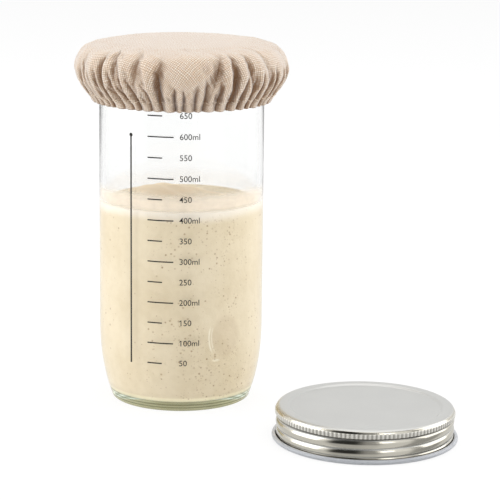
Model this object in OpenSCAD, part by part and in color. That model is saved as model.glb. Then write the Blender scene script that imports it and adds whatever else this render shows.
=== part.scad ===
// Sourdough starter jar: a straight glass jar with a printed volume scale, filled with starter,
// a gathered cloth cover on its mouth, and its one-piece steel screw lid lying beside it.
// The origin is the centre of the jar's foot, on the table. +Z is up and -Y is the printed front.

/* [Jar] */
// Outside diameter of the straight body
body_d = 84; // [76:1:96]
// Height from the table to the sealing rim
jar_h = 182; // [165:1:210]
// Thickness of the side wall
wall = 3; // [2.2:0.1:4]
// Thickness of the floor over the foot ring
floor_t = 5; // [3.5:0.5:8]
// Height over which the heel curves in
heel_h = 42; // [30:1:50]
// How far the heel curves in at the foot
heel_in = 6.5; // [4:0.5:9]
// Radius of the corner between the inner wall and the floor
inner_corner_r = 6; // [4:0.5:10]
// Width of the foot ring that the jar stands on
foot_w = 2.4; // [1.5:0.1:4]
// Height of the hollow under the jar
push_up_h = 3; // [1.5:0.5:4]

/* [Neck] */
// How far the neck steps in from the body
neck_in = 1.6; // [1.4:0.1:3]
// Height of the neck, from the shoulder to the rim
neck_h = 20; // [18:1:26]
// Height over which the shoulder turns in to the neck
shoulder_h = 4; // [3:0.5:8]
// Height of the bead under the thread
bead_h = 2.4; // [1.6:0.2:4]
// How far the bead stands out of the neck
bead_out = 1.2; // [0.6:0.1:1.6]
// Rounding of the sealing rim
rim_r = 1.1; // [0.6:0.1:1.4]

/* [Scale print] */
// Height of the lowest graduation above the table
first_mark_z = 26.6; // [22:0.2:32]
// Volume between two graduations, in ml
mark_step_ml = 50; // [40:10:60]
// Angle from the front to the left end of the graduations
mark_start_deg = -21.6; // [-30:0.2:-18]
// Length of a full graduation round the glass
long_mark_l = 13.3; // [10:0.1:16]
// Length of a half graduation round the glass
short_mark_l = 7.6; // [4:0.1:9]
// Height of a graduation's line
mark_line_w = 0.6; // [0.4:0.1:1.2]
// Angle from the front to the upright feeding line
feed_line_deg = -34.6; // [-50:0.2:-32]
// Width of the feeding line
feed_line_w = 0.85; // [0.5:0.05:1.5]
// Diameter of the dot at the feeding line's upper end
feed_dot_d = 1.9; // [1.2:0.1:3]
// Thickness of the fired ink
ink_t = 0.1; // [0.06:0.02:0.2]

/* [Starter] */
// Height of the starter's surface at the wall, above the table
starter_z = 103; // [70:1:130]
// How far the middle of the starter stands above its edge
starter_dome = 2.5; // [1:0.5:5]
// Gap between the starter and the glass
starter_gap = 0.2; // [0.1:0.05:0.3]

/* [Cloth cover] */
// Thickness of the cloth
cloth_t = 0.6; // [0.5:0.1:1]
// How far the cover billows out of the glass at its widest
cover_bulge = 12; // [9:0.5:15]
// How far the hem reaches down the body under the shoulder
hem_grip = 4.5; // [3.5:0.5:8]
// Height of the widest place above the hem's lower edge
cover_bulge_z = 20.5; // [19:0.5:22]
// Rise of the cloth's middle above the rim
cover_dome = 1.2; // [0.6:0.1:2]
// Height of the hem tunnel
hem_h = 4.6; // [4.2:0.2:6]
// Free depth inside the hem tunnel
hem_depth = 1.3; // [1.2:0.1:2]
// Gap between the cover and the glass
cover_gap = 0.35; // [0.3:0.05:0.5]

/* [Elastic] */
// Height of the elastic band
elastic_w = 2.7; // [2:0.1:2.9]
// Thickness of the elastic band
elastic_t = 0.7; // [0.5:0.1:0.8]
// Diameter of the sewing thread
thread_d = 0.4; // [0.3:0.05:0.6]
// Gap between the sewing thread and the cloth
thread_gap = 0.08; // [0.05:0.01:0.15]
// Length of one stitch
stitch_l = 2.6; // [2:0.1:3]
// Gap between two stitches
stitch_gap = 1; // [0.8:0.1:1.5]

/* [Lid] */
// Height of the lid
lid_h = 16.2; // [15:0.1:18]
// Thickness of the sheet steel
steel_t = 0.3; // [0.25:0.05:0.4]
// Gap between the thread's crest and the grooves rolled into the lid's skirt
lid_gap = 0.4; // [0.3:0.1:1]
// Diameter of the curled lower edge's section
curl_d = 2.3; // [1.8:0.1:2.6]
// Depth of the lid's recessed middle
panel_drop = 0.8; // [0.4:0.1:1.2]
// Rounding of the lid's upper edge
lid_corner_r = 1.5; // [0.8:0.1:2]
// Number of ribs in the knurled band
knurl_count = 132; // [96:12:144]
// How far a knurl rib stands out
knurl_out = 0.4; // [0.2:0.05:0.5]
// Height of the knurled band
knurl_h = 3.7; // [3:0.1:4.2]
// Depth of the grooves rolled into the skirt
groove_depth = 0.8; // [0.4:0.1:1]
// Height of the groove between the two thread beads
groove_z = 6.8; // [6.2:0.1:7.4]
// Height from one thread bead to the other
bead_pitch = 3.7; // [3.2:0.1:4]
// Thickness of the sealing ring
liner_t = 1; // [0.6:0.1:1.4]

/* [Layout] */
// Place of the lid that was taken off, to the right of the jar's axis
lid_x = 92.5; // [80:0.5:130]
// Place of the lid that was taken off, behind the jar's axis (negative is in front)
lid_y = -75; // [-120:1:-70]

/* [Hidden] */
$fn = 96;

body_r = body_d / 2;
inner_r = body_r - wall;
neck_r = body_r - neck_in;
mouth_r = neck_r - wall;
foot_r = body_r - heel_in;
neck_z = jar_h - neck_h;
shoulder_z = neck_z - shoulder_h;
heel_power = 2.5;
heel_steps = 14;
arc_steps = 6;

// Outside radius of the body at height z: straight, with a heel that curves in faster towards the foot
function body_radius(z) = z >= heel_h ? body_r : body_r - heel_in * pow(1 - z / heel_h, heel_power);

// Points of a circular arc about c, from angle a0 to a1
function arc(c, r, a0, a1, steps = arc_steps) =
    [for (i = [0:steps]) c + r * [cos(a0 + (a1 - a0) * i / steps), sin(a0 + (a1 - a0) * i / steps)]];

// Points of a smooth S from p to q that leaves and arrives along the first axis (across) or the second (up)
function s_curve(p, q, up = false, steps = 8) =
    [for (i = [0:steps])
        let (t = i / steps, s = t * t * (3 - 2 * t))
        up ? [p[0] + (q[0] - p[0]) * s, p[1] + (q[1] - p[1]) * t]
           : [p[0] + (q[0] - p[0]) * t, p[1] + (q[1] - p[1]) * s]];

// Catmull-Rom curve through the points p, with the given steps from one to the next
function through(p, steps = 5) =
    let (n = len(p) - 1)
    [for (i = [0:n - 1], k = [0:steps - 1])
        let (t = k / steps,
             a = p[max(i - 1, 0)], b = p[i], c = p[i + 1], d = p[min(i + 2, n)])
        0.5 * (2 * b + (c - a) * t + (2 * a - 5 * b + 4 * c - d) * t * t
            + (3 * b - a - 3 * c + d) * t * t * t),
     p[n]];

function unit(v) = v / norm(v);
function left_of(v) = [-v[1], v[0]];

// Normal of an open path at point i, averaged over the two stretches that meet there
function path_normal(p, i) =
    let (n = len(p) - 1,
         before = i > 0 ? unit(p[i] - p[i - 1]) : unit(p[1] - p[0]),
         after = i < n ? unit(p[i + 1] - p[i]) : unit(p[n] - p[n - 1]),
         mid = unit(before + after))
    left_of(mid) / max(mid * before, 0.5);

// Outline of a sheet of thickness t whose middle line is the open path p, which starts on the axis
function sheet_outline(p, t) =
    let (edge = concat(
        [for (i = [0:len(p) - 1]) p[i] + path_normal(p, i) * t / 2],
        [for (i = [len(p) - 1:-1:0]) p[i] - path_normal(p, i) * t / 2]))
    [for (q = edge) [max(q[0], 0), q[1]]];

// Outline of the glass, from the middle of the push-up round the outside and back down the inside
push_up_r = foot_r - foot_w - 2;
foot_round = 1;
bead_z = neck_z + 2;
inner_neck_z = shoulder_z - 1;
function outer_glass() = concat(
    [[0, push_up_h]],
    s_curve([push_up_r * 0.35, push_up_h], [push_up_r, 0.6]),
    [[foot_r - foot_w - 0.8, 0], [foot_r - foot_round, 0]],
    arc([body_radius(foot_round) - foot_round, foot_round], foot_round, -60, 0, 4),
    [for (i = [1:heel_steps])
        let (z = foot_round + (heel_h - foot_round) * i / heel_steps) [body_radius(z), z]],
    s_curve([body_r, shoulder_z], [neck_r, neck_z], up = true),
    [[neck_r, bead_z]],
    s_curve([neck_r, bead_z + 0.1], [neck_r + bead_out, bead_z + bead_h / 2], up = true, steps = 4),
    s_curve([neck_r + bead_out, bead_z + bead_h / 2 + 0.2], [neck_r, bead_z + bead_h], up = true, steps = 4),
    arc([neck_r - rim_r, jar_h - rim_r], rim_r, 0, 90));
function inner_glass() = concat(
    arc([mouth_r + rim_r, jar_h - rim_r], rim_r, 90, 180),
    s_curve([mouth_r, neck_z + 1], [inner_r, inner_neck_z], up = true),
    inner_heel(0));

// The inner heel follows the outer one at the wall's thickness, then turns into the floor.
// gap moves it inwards, for what lies against it.
corner_top = floor_t + inner_corner_r;
corner_r_at = body_radius(corner_top) - wall;
floor_rise = 2;
function inner_heel(gap) = concat(
    [for (i = [heel_steps:-1:1])
        let (z = corner_top + (heel_h - corner_top) * i / heel_steps) [body_radius(z) - wall - gap, z]],
    arc([corner_r_at - inner_corner_r - gap, corner_top + gap], inner_corner_r, 0, -90, 7),
    [for (i = [5:-1:0])
        let (t = i / 6) [(corner_r_at - inner_corner_r) * t,
            floor_t + gap + floor_rise * (1 - pow(t, 2))]]);

module glass_jar() {
    color([0.86, 0.93, 0.90, 0.4])
    rotate_extrude() polygon(concat(outer_glass(), inner_glass()));
}

// Height of a graduation: equal volumes are equal heights on the straight wall. The graduations go up
// to the cover's hem.
mark_pitch = mark_step_ml * 1000 / (PI * pow(inner_r, 2));
hem_z = shoulder_z - hem_grip;
mark_count = floor((hem_z - 1 - first_mark_z) / mark_pitch) + 1;
function mark_z(i) = first_mark_z + i * mark_pitch;
function arc_deg(l) = l / body_r * 180 / PI;

// A patch of ink on the glass, from angle a (0 is the front) over the angle sweep, z0 to z1
module ink(a, sweep, z0, z1) {
    rotate([0, 0, a - 90]) rotate_extrude(angle = sweep)
    translate([body_r, z0]) square([ink_t, z1 - z0]);
}

module ink_dot(a, z, d) {
    rotate([0, 0, a]) intersection() {
        translate([0, 0, z]) rotate([90, 0, 0]) cylinder(d = d, h = body_r + 1);
        difference() {
            translate([0, 0, z - d]) cylinder(r = body_r + ink_t, h = 2 * d);
            translate([0, 0, z - d - 1]) cylinder(r = body_r, h = 2 * d + 2);
        }
    }
}

feed_line_top = mark_z(mark_count - 2);
feed_line_bottom = mark_z(0) - 1.2;
module scale_print() {
    color([0.16, 0.15, 0.14]) {
        for (i = [0:mark_count - 1])
            ink(mark_start_deg, arc_deg(i % 2 == 1 ? long_mark_l : short_mark_l),
                mark_z(i) - mark_line_w / 2, mark_z(i) + mark_line_w / 2);
        ink(feed_line_deg - arc_deg(feed_line_w) / 2, arc_deg(feed_line_w),
            feed_line_bottom, feed_line_top);
        ink_dot(feed_line_deg, feed_line_top, feed_dot_d);
    }
}

// The starter fills the jar to starter_z and domes up towards its middle
dome_steps = 8;
starter_r = inner_r - starter_gap;
module starter() {
    color([0.93, 0.88, 0.76])
    rotate_extrude() polygon(concat(
        [for (i = [0:dome_steps])
            let (t = i / dome_steps)
            [starter_r * t, starter_z + starter_dome * (1 - pow(t, 3))]],
        inner_heel(starter_gap)));
}

// The hem is a tunnel round the elastic: the cloth turns in at the hem's lower edge and runs up inside
// to the seam
hem_in = body_r + cover_gap + cloth_t / 2;
hem_out = hem_in + cloth_t + hem_depth;
hem_mid = (hem_in + hem_out) / 2;
hem_fold_r = (hem_out - hem_in) / 2;
hem_bottom = hem_z + cloth_t / 2;
seam_r = hem_out + 0.4 * hem_h;
seam_z = hem_bottom + hem_h;
under_seam = [hem_out, hem_bottom + hem_fold_r + 0.4];
cover_top = jar_h + cover_gap + cloth_t / 2;
bulge_r = body_r + cover_bulge - cloth_t / 2;
bulge_z = hem_z + cover_bulge_z;
over_seam = [bulge_r - 3.3, bulge_z - 9.8];
// Middle line of the cover's cloth, from its centre over the widest place to the seam, round the
// tunnel and back to the seam
function cover_path() = concat(
    [for (i = [0:3]) let (t = i / 4) [neck_r * t, cover_top + cover_dome * (1 - pow(t, 2))]],
    through([
        [neck_r, cover_top],
        [bulge_r - 5.2, cover_top - 0.9],
        [bulge_r - 1.2, bulge_z + 4.6],
        [bulge_r, bulge_z],
        [bulge_r - 0.9, bulge_z - 5],
        over_seam,
        [seam_r, seam_z],
        under_seam], 4),
    arc([hem_mid, hem_bottom + hem_fold_r], hem_fold_r, 0, -180, 8),
    [[hem_in, seam_z - 0.8], [seam_r - 0.9, seam_z + 0.4]]);

module cover_cloth() {
    color([0.87, 0.76, 0.64])
    rotate_extrude() polygon(sheet_outline(cover_path(), cloth_t));
}

module cover_elastic() {
    color([0.95, 0.94, 0.9])
    rotate_extrude()
    translate([hem_mid - elastic_t / 2, hem_bottom + hem_fold_r - cloth_t / 4])
        square([elastic_t, elastic_w]);
}

// Running stitches of the seam, on the outside of the cloth
seam_up = unit(over_seam - under_seam);
stitch_place = [seam_r, seam_z]
    + (cloth_t / 2 + thread_gap + thread_d / 2) * [seam_up[1], -seam_up[0]];
stitch_count = round(2 * PI * stitch_place[0] / (stitch_l + stitch_gap));
module hem_stitching() {
    color([0.93, 0.86, 0.76])
    for (i = [0:stitch_count - 1])
        rotate([0, 0, i * 360 / stitch_count])
        rotate_extrude(angle = stitch_l / stitch_place[0] * 180 / PI)
        translate(stitch_place) circle(d = thread_d, $fn = 16);
}

// Radii of the lid's steel, at the middle of the sheet. The skirt's grooves clear the thread, whose
// crest is as wide as the body.
skirt_r = body_r + lid_gap + groove_depth + steel_t / 2;
curl_r = curl_d / 2 - steel_t / 2;
lid_top = lid_h - steel_t / 2;
panel_slope = 1.8;
panel_r = mouth_r + 0.8 - panel_slope;
knurl_top = lid_h - 0.7 * lid_corner_r;
knurl_bottom = knurl_top - knurl_h;
function skirt_path() = through([
    [skirt_r, lid_top - lid_corner_r],
    [skirt_r, knurl_bottom + 0.2],
    [skirt_r - 0.8 * groove_depth, knurl_bottom - 0.7],
    [skirt_r, groove_z + bead_pitch / 2],
    [skirt_r - groove_depth, groove_z],
    [skirt_r + 0.1, groove_z - bead_pitch / 2],
    [skirt_r - 0.6 * groove_depth, curl_d + 0.4],
    [skirt_r, curl_d / 2]], 4);
// The curl rolls out and up from the skirt's lower end
function curl_path() = arc([skirt_r + curl_r, curl_d / 2], curl_r, 200, 470, 14);
function lid_path() = concat(
    [[0, lid_top - panel_drop], [panel_r * 0.5, lid_top - panel_drop]],
    s_curve([panel_r, lid_top - panel_drop], [panel_r + panel_slope, lid_top]),
    arc([skirt_r - lid_corner_r, lid_top - lid_corner_r], lid_corner_r, 90, 10),
    skirt_path(),
    curl_path());

// Closed ring whose outside is a row of ribs
module knurled_ring(r, out, count, h) {
    linear_extrude(height = h) difference() {
        polygon([for (i = [0:2 * count - 1])
            let (a = i * 180 / count) (r + (i % 2 == 0 ? out : 0.08)) * [cos(a), sin(a)]]);
        circle(r = r - steel_t / 2);
    }
}

module lid_shell() {
    color([0.80, 0.80, 0.78]) translate([lid_x, lid_y, 0]) {
        rotate_extrude() polygon(sheet_outline(lid_path(), steel_t));
        translate([0, 0, knurl_bottom + 0.2])
            knurled_ring(skirt_r + steel_t / 2, knurl_out, knurl_count, knurl_h - 0.4);
    }
}

// The sealing ring lies in the channel between the panel's step and the skirt, over the glass rim
liner_in = panel_r + panel_slope + steel_t;
liner_out = skirt_r - lid_corner_r - 0.2;
module lid_liner() {
    color([0.96, 0.95, 0.92]) translate([lid_x, lid_y, lid_h - steel_t - liner_t])
    difference() {
        cylinder(r = liner_out, h = liner_t);
        translate([0, 0, -1]) cylinder(r = liner_in, h = liner_t + 2);
    }
}

glass_jar();
scale_print();
starter();  // sourdough_starter
cover_cloth();
cover_elastic();
hem_stitching();
lid_shell();
lid_liner();
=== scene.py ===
import math

import bpy
import numpy as np
from mathutils import Matrix, Vector


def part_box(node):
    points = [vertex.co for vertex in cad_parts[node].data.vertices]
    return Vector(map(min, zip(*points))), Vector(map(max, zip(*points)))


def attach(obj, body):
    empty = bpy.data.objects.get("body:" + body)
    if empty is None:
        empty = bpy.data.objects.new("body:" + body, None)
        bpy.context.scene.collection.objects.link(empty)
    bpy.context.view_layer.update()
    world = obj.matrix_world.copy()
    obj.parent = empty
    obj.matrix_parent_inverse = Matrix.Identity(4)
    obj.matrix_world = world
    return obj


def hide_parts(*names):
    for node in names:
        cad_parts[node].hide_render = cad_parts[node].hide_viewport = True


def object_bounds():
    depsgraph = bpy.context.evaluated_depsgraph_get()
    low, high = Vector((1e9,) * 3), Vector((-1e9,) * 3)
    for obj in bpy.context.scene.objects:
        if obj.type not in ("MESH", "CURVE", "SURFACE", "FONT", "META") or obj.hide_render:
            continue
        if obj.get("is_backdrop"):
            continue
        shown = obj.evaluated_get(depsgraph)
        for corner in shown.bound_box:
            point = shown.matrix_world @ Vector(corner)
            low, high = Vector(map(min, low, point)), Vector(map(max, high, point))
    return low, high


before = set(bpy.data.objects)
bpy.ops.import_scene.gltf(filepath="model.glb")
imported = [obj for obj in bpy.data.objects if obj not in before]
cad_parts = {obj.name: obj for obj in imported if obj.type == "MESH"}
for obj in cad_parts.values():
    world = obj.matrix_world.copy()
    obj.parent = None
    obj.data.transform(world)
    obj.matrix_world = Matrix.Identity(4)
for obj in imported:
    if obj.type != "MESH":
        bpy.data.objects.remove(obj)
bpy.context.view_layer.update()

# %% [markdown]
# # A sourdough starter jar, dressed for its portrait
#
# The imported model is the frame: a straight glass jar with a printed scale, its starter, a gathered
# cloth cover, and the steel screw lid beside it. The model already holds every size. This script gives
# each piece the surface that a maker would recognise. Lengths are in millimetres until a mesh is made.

MM = 0.001


def added(name, data):
    """A new object with this mesh, lamp, camera or text."""
    made = bpy.data.objects.new(name, data)
    bpy.context.scene.collection.objects.link(made)
    return made


def drawn(name, points, faces):
    """A new object whose mesh has these points, in metres, and these faces."""
    mesh = bpy.data.meshes.new(name)
    mesh.from_pydata(np.asarray(points, float).tolist(), [], faces)
    return added(name, mesh)


# %% [markdown]
# ## The camera
#
# The photographer stood a metre away with a long lens, a little above the lid. A camera fitted to the
# jar's sides, its foot, its print and the lid gives these numbers. The horizon leans by half a degree.

# %% Camera
LENS, SENSOR = 150.8, 36.0
CAMERA_PLACE = Vector((35.5, -1057.0, 307.5)) * MM
LOOKING_DOWN, LEANING = math.radians(12.33), math.radians(0.62)

ahead = Vector((0, math.cos(LOOKING_DOWN), -math.sin(LOOKING_DOWN)))
level = Vector((1, 0, 0))
upward = level.cross(ahead)
right = level * math.cos(LEANING) + upward * math.sin(LEANING)
above = upward * math.cos(LEANING) - level * math.sin(LEANING)
camera = added("camera", bpy.data.cameras.new("camera"))
camera.data.lens, camera.data.sensor_width = LENS, SENSOR
camera.matrix_world = Matrix.Translation(CAMERA_PLACE) @ Matrix((right, above, -ahead)).transposed().to_4x4()
bpy.context.scene.camera = camera
bpy.context.scene.view_settings.view_transform = "Standard"
print("camera", tuple(round(v, 4) for v in camera.location))

# %% [markdown]
# ## Shader sums written as Python
#
# A pattern is easier to read as a sum than as a web of nodes. Wire wraps one socket, and the usual
# operators on it add Math nodes. Everything else comes from Finish.node, which takes a node's kind, its
# settings, and the values or links of its sockets.


# %% Wire and Finish
class Wire:
    """One output socket of a finish. Operators on it add Math nodes to the same tree."""

    def __init__(self, finish, socket):
        self.finish, self.socket = finish, socket

    def math(self, operation, *others):
        return self.finish.node("Math", {"operation": operation}, dict(enumerate((self, *others))))

    def __add__(self, other):
        return self.math("ADD", other)

    def __sub__(self, other):
        return self.math("SUBTRACT", other)

    def __rsub__(self, other):
        return self.finish.node("Math", {"operation": "SUBTRACT"}, {0: other, 1: self})

    def __mul__(self, other):
        return self.math("MULTIPLY", other)

    def __truediv__(self, other):
        return self.math("DIVIDE", other)

    def __pow__(self, other):
        return self.math("POWER", other)

    def __lt__(self, other):
        return self.math("LESS_THAN", other)

    def __abs__(self):
        return self.math("ABSOLUTE")

    __radd__, __rmul__ = __add__, __mul__

    def ramp(self, low, high, to_low=0.0, to_high=1.0):
        """Smooth step: to_low below low, to_high above high."""
        values = {"Value": self, "From Min": low, "From Max": high, "To Min": to_low, "To Max": to_high}
        return self.finish.node("MapRange", {"interpolation_type": "SMOOTHSTEP"}, values)

    def mix(self, one, other):
        """Colour that goes from one to other as this goes from 0 to 1."""
        return self.finish.node("Mix", {"data_type": "RGBA"}, {0: self, 6: one, 7: other}, out=2)

    def choose(self, one, other):
        """Shader that goes from one to other as this goes from 0 to 1."""
        return self.finish.node("MixShader", None, {0: self, 1: one, 2: other})

    def noise(self, scale, detail=2.0):
        """Noise at this place."""
        return self.finish.node("TexNoise", None, {"Vector": self, "Scale": scale, "Detail": detail})

    def stretched(self, scale):
        """This place with each direction scaled on its own."""
        return self.finish.node("Mapping", None, {"Vector": self, "Scale": scale})

    def parts(self):
        """X, Y and Z of this place, by name."""
        return self.finish.outputs("SeparateXYZ", None, {0: self})

    def bump(self, distance, strength=1.0):
        """A normal leaned by this height."""
        return self.finish.node("Bump", None, {"Height": self, "Distance": distance, "Strength": strength})


def linear(red, green, blue):
    """A colour as seen on screen, in 0 to 255, as the linear colour that a shader takes."""
    seen = np.array([red, green, blue]) / 255
    return (*np.where(seen < 0.04045, seen / 12.92, ((seen + 0.055) / 1.055) ** 2.4).tolist(), 1.0)


class Finish:
    """A material, or the world, and its node tree."""

    def __init__(self, name, owner=None):
        self.owner = owner or bpy.data.materials.new(name)
        self.owner.use_nodes = True
        self.tree = self.owner.node_tree
        self.tree.nodes.clear()

    def node(self, kind, settings=None, sockets=None, out=0):
        """Adds a node, sets it up, fills its sockets and returns one of its outputs."""
        made = self.tree.nodes.new("ShaderNode" + kind)
        for key, value in (settings or {}).items():
            setattr(made, key, value)
        for key, value in (sockets or {}).items():
            if isinstance(value, Wire):
                self.tree.links.new(value.socket, made.inputs[key])
            else:
                made.inputs[key].default_value = value
        return Wire(self, made.outputs[out])

    def outputs(self, kind, settings=None, sockets=None):
        """All outputs of a new node, by name."""
        first = self.node(kind, settings, sockets)
        return {s.name: Wire(self, s) for s in first.socket.node.outputs}

    def here(self):
        """The place on the piece, in the object's own metres."""
        return self.node("TexCoord", None, None, out="Object")

    def attribute(self, name):
        """A number that the mesh carries at each point."""
        return self.node("Attribute", {"attribute_name": name}, None, out="Fac")

    def surface(self, shader):
        """Ends the tree in its output and returns what the tree belongs to."""
        kind = "OutputWorld" if isinstance(self.owner, bpy.types.World) else "OutputMaterial"
        made = self.tree.nodes.new("ShaderNode" + kind)
        self.tree.links.new(shader.socket, made.inputs["Surface"])
        return self.owner

    def principled(self, **sockets):
        named = {key.replace("_", " "): value for key, value in sockets.items()}
        return self.node("BsdfPrincipled", None, named)


def grained(name, scale, dark, light, depth, strength, **sockets):
    """A finish that varies between two close colours, with a fine bump of the same noise."""
    finish = Finish(name)
    grain = finish.here().noise(scale)
    return finish.surface(finish.principled(
        Base_Color=grain.mix(linear(*dark), linear(*light)), Normal=grain.bump(depth, strength),
        **sockets))


def layered(colour, *layers):
    """A colour under layers, each an amount from 0 to 1 and its own colour."""
    for amount, tone in layers:
        colour = amount.mix(colour, tone)
    return colour


def carry(piece, name, values):
    """Stores one number per point, which Finish.attribute reads. The pole comes last and gets 0."""
    kept = piece.data.attributes.new(name, "FLOAT", "POINT")
    kept.data.foreach_set("value", np.append(values.ravel(), 0.0))


def refinish(node, finish):
    """Gives a finish to a node of the model whose shape stays."""
    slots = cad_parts[node].data.materials
    slots.clear()
    slots.append(finish)


# %% [markdown]
# ## The table and the light
#
# The photo is a cut-out on white, lit by a large soft light overhead, one on each side and a narrow one
# beside the camera. The table and the surroundings look white to the camera and through the glass, but
# light the object only gently. Polished steel shows the room, so the room has a dark part above the
# horizon on the camera's side, with the table bright below it, and that gives the lid its streaks.
# A mirrored ray goes on behind a lamp that it meets, so the room is dimmer where the big lamp hangs.

# %% Table, surroundings and lamps
TABLE_SIZE = 8000.0
WHITE, TABLE_WHITE = (1, 1, 1, 1), (0.86, 0.86, 0.86, 1)
SHADOW_KEPT = 0.2
SKY_LIGHT, FRONT_LIGHT = 0.98, 0.16
TABLE_IN_STEEL, DARK_IN_STEEL, GAP_IN_STEEL, BEHIND_LAMP = 0.80, 0.03, 0.5, 0.25
DARK_LEFT, DARK_MIDDLE, DARK_RIGHT = (-58, -44), (-16, 2), (24, 10)  # degrees to the right of the camera
GAP_LEFT, GAP_RIGHT = (54, 66), (118, 100)


def ray_kinds(finish):
    """The kinds of ray, by name. A refracted ray counts as glossy too, so Mirrored is glossy less that,
    and Seen is what comes to the camera straight or through glass."""
    rays = finish.outputs("LightPath")
    rays["Mirrored"] = rays["Is Glossy Ray"] * (1 - rays["Is Transmission Ray"])
    rays["Seen"] = rays["Is Camera Ray"].math("MAXIMUM", rays["Is Transmission Ray"])
    return rays


table_finish = Finish("white table")
rays = ray_kinds(table_finish)
matt = table_finish.node("BsdfDiffuse", None, {"Color": TABLE_WHITE})
white = table_finish.node("Emission", None, {"Color": WHITE, "Strength": 1.0})
seen = (rays["Seen"] * (1 - SHADOW_KEPT)).choose(matt, white)
table_paint = table_finish.surface(rays["Mirrored"].choose(seen, table_finish.node("BsdfTransparent")))

half = TABLE_SIZE / 2 * MM
table = drawn("table", [(-half, -half, 0), (half, -half, 0), (half, half, 0), (-half, half, 0)], [(0, 1, 2, 3)])
table.data.materials.append(table_paint)
table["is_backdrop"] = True

world = bpy.data.worlds.new("studio")
bpy.context.scene.world = world
studio = Finish("studio", world)
rays = ray_kinds(studio)
part = studio.node("TexCoord", None, None, out="Generated").parts()
bearing = part["X"].math("ARCTAN2", part["Y"] * -1) * (180 / math.pi)
height = part["Z"]
camera_side = bearing.ramp(*DARK_LEFT) * bearing.ramp(*DARK_MIDDLE, 1.0, 0.65) * bearing.ramp(*DARK_RIGHT)
camera_side = camera_side * height.ramp(-0.30, 0.04, 0.35, 1.0) * height.ramp(0.95, 0.84)
gap = bearing.ramp(*GAP_LEFT) * bearing.ramp(*GAP_RIGHT) * height.ramp(0.90, 0.70)
in_steel = (1 - camera_side * (1 - DARK_IN_STEEL)) * (1 - gap * (1 - GAP_IN_STEEL))
in_steel = in_steel * height.ramp(0.0, 0.05, TABLE_IN_STEEL, 1.0) * height.ramp(0.70, 0.86, 1.0, BEHIND_LAMP)
front = part["Y"].ramp(-0.2, -0.8) * height.ramp(0.9, 0.4)
on_cloth = SKY_LIGHT - front * (SKY_LIGHT - FRONT_LIGHT)
brightness = on_cloth + rays["Seen"] * (1 - on_cloth) + rays["Mirrored"] * (in_steel - on_cloth)
studio.surface(studio.node("Background", None, {"Color": WHITE, "Strength": brightness}))


def soft_lamp(name, place, size, energy, aim=(0, 0, 100)):
    """A square soft box at a place, turned to face the aim."""
    data = bpy.data.lights.new(name, "AREA")
    data.size, data.energy = size * MM, energy
    facing = (Vector(aim) - Vector(place)).to_track_quat("-Z", "Y").to_matrix().to_4x4()
    added(name, data).matrix_world = Matrix.Translation(Vector(place) * MM) @ facing


soft_lamp("overhead", (40, 60, 1500), 2000, 15.5)
soft_lamp("from the left", (-1150, -150, 480), 1100, 6.0)
soft_lamp("from the right", (1150, 100, 480), 1000, 4.4)
soft_lamp("beside the camera", (560, -1070, 480), 380, 0.7)

# %% [markdown]
# ## Surfaces as arrays
#
# A turned piece is a profile carried round the axis: a grid of points whose rows follow the profile and
# whose columns go round. The helpers below lay such a grid, close its poles with a fan of triangles,
# and make sure that its faces look outwards by the sign of its volume.


# %% Profile pieces
def angles(count):
    """Angles spread evenly round the circle."""
    return np.arange(count) * 2 * np.pi / count


def from_front(angle):
    """The same angle counted from the front, -y, between -pi and pi."""
    return (angle + 1.5 * np.pi) % (2 * np.pi) - np.pi


def profile(r, z):
    """Rows of r and z, of which one may be a single number."""
    return np.stack(np.broadcast_arrays(r, z), 1)


def arc(centre, radius, start, end, steps):
    """Points centre + radius (cos a, sin a), with a going evenly from start to end degrees."""
    a = np.radians(np.linspace(start, end, steps + 1))[:, None]
    return np.array(centre) + radius * np.hstack([np.cos(a), np.sin(a)])


def smooth(x, low=0.0, high=1.0):
    """Smooth step: 3t^2 - 2t^3 of t, which goes from 0 at low to 1 at high."""
    t = np.clip((x - low) / (high - low), 0, 1)
    return t * t * (3 - 2 * t)


def s_curve(p, q, upright=False, steps=12):
    """S from p to q that leaves and arrives along r, or along z when upright."""
    t = np.linspace(0, 1, steps + 1)
    even, bent = t, smooth(t)
    ways = (bent, even) if upright else (even, bent)
    return np.stack([p[i] + (q[i] - p[i]) * ways[i] for i in (0, 1)], 1)


def cubics(points, steps):
    """Catmull-Rom curve along the first axis, whose first and last points only lean the ends: steps
    places from b to c, 0.5 (2b + (c - a)t + (2a - 5b + 4c - d)t^2 + (3b - a - 3c + d)t^3)."""
    a, b, c, d = (points[i:len(points) - 3 + i, None] for i in range(4))
    t = np.linspace(0, 1, steps, endpoint=False).reshape(1, -1, *([1] * (points.ndim - 1)))
    fine = 0.5 * (2 * b + (c - a) * t + (2 * a - 5 * b + 4 * c - d) * t**2 + (3 * b - a - 3 * c + d) * t**3)
    return fine.reshape(-1, *points.shape[1:])


def finer(points, steps, axis=0, closed=False):
    """Smooth curve through the points along one axis: steps pieces where there was one."""
    p = np.moveaxis(points, axis, 0)
    if closed:
        fine = cubics(np.concatenate([p[-1:], p, p[:2]]), steps)
    else:
        beyond = 2 * p[:1] - p[1:2], 2 * p[-1:] - p[-2:-1]
        fine = np.concatenate([cubics(np.concatenate([beyond[0], p, beyond[1]]), steps), p[-1:]])
    return np.moveaxis(fine, 0, axis)


def turned(line, columns):
    """Grid (row, column, xyz): x = r cos a, y = r sin a, z = z, with a even round the circle."""
    a = angles(columns)
    r, z = (np.array(line)[:, i, None] for i in (0, 1))
    return np.stack([r * np.cos(a), r * np.sin(a), np.broadcast_to(z, (len(r), columns))], -1)


def push_out(grid, rows, out):
    """Moves rows of a turned grid away from the axis."""
    a = angles(grid.shape[1])
    grid[rows, :, 0] += out * np.cos(a)
    grid[rows, :, 1] += out * np.sin(a)


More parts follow.
